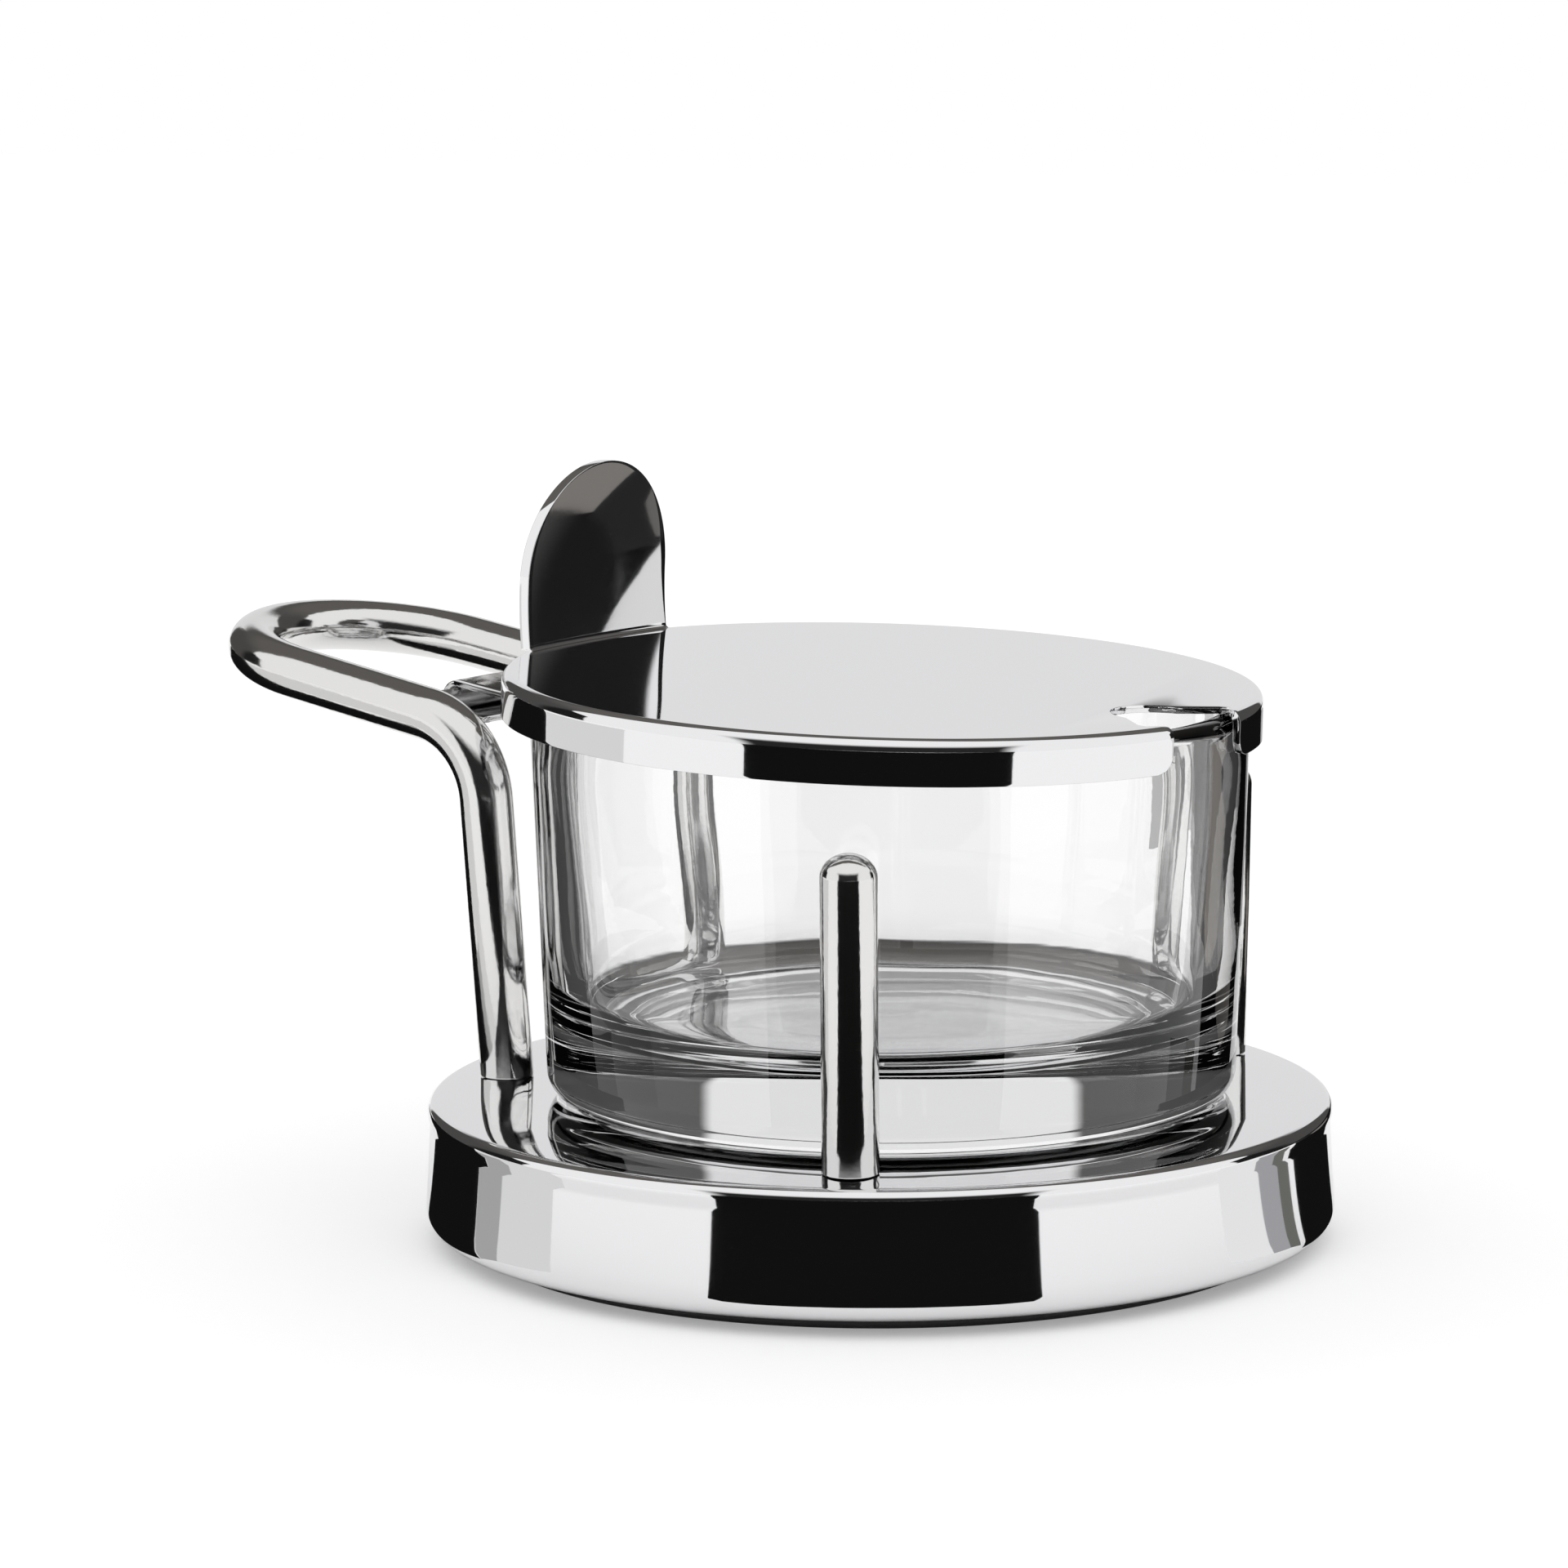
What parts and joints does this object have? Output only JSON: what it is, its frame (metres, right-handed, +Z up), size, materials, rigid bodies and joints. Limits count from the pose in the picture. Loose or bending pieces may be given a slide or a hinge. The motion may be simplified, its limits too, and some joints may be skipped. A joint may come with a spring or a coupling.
{
  "type": "parmesan cheese server",
  "caption": "Glass bowl for grated cheese on a round steel base, held by upright pins and a bent rod handle, with a hinged steel lid that has a thumb plate and a spoon notch.",
  "frame": {"origin": "on the round base's axis, in the plane of the foot pad's underside, which the server stands on", "axes": "+Z up, -X towards the handle and the hinge, +X towards the spoon notch, the hinge axis along Y"},
  "size_m": [0.1646, 0.1206, 0.1006],
  "materials": {
    "polished_steel": "mirror polished",
    "satin_steel": "soft polished, faint grain",
    "plain_steel": "plain",
    "pad_plastic": "dark satin",
    "bowl_glass": "clear, smooth"
  },
  "bodies": {
    "stand": {"base_shell": "polished_steel", "base_stiffener": "plain_steel", "foot_pad": "pad_plastic", "handle_rod": "satin_steel", "hinge_rod": "plain_steel", "bowl_pin_front": "satin_steel", "bowl_pin_rear": "satin_steel", "screw_leg_front": "plain_steel", "washer_leg_front": "plain_steel", "screw_leg_rear": "plain_steel", "washer_leg_rear": "plain_steel", "screw_pin_front": "plain_steel", "washer_pin_front": "plain_steel", "screw_pin_rear": "plain_steel", "washer_pin_rear": "plain_steel"},
    "lid": {"lid_disc": "polished_steel", "thumb_plate": "polished_steel", "hinge_tongue": "satin_steel"},
    "bowl": {"glass_bowl": "bowl_glass"}
  },
  "joints": [
    {"name": "lid_hinge", "type": "hinge", "parent": "stand", "child": "lid", "pos_m": [-0.06269, 0, 0.06802], "axis": [0, -1, 0], "range_deg": [0, 102]},
    {"name": "bowl_turn", "type": "hinge", "parent": "stand", "child": "bowl", "pos_m": [0.00183, 0, 0.04], "axis": [0, 0, 1], "continuous": true}
  ]
}
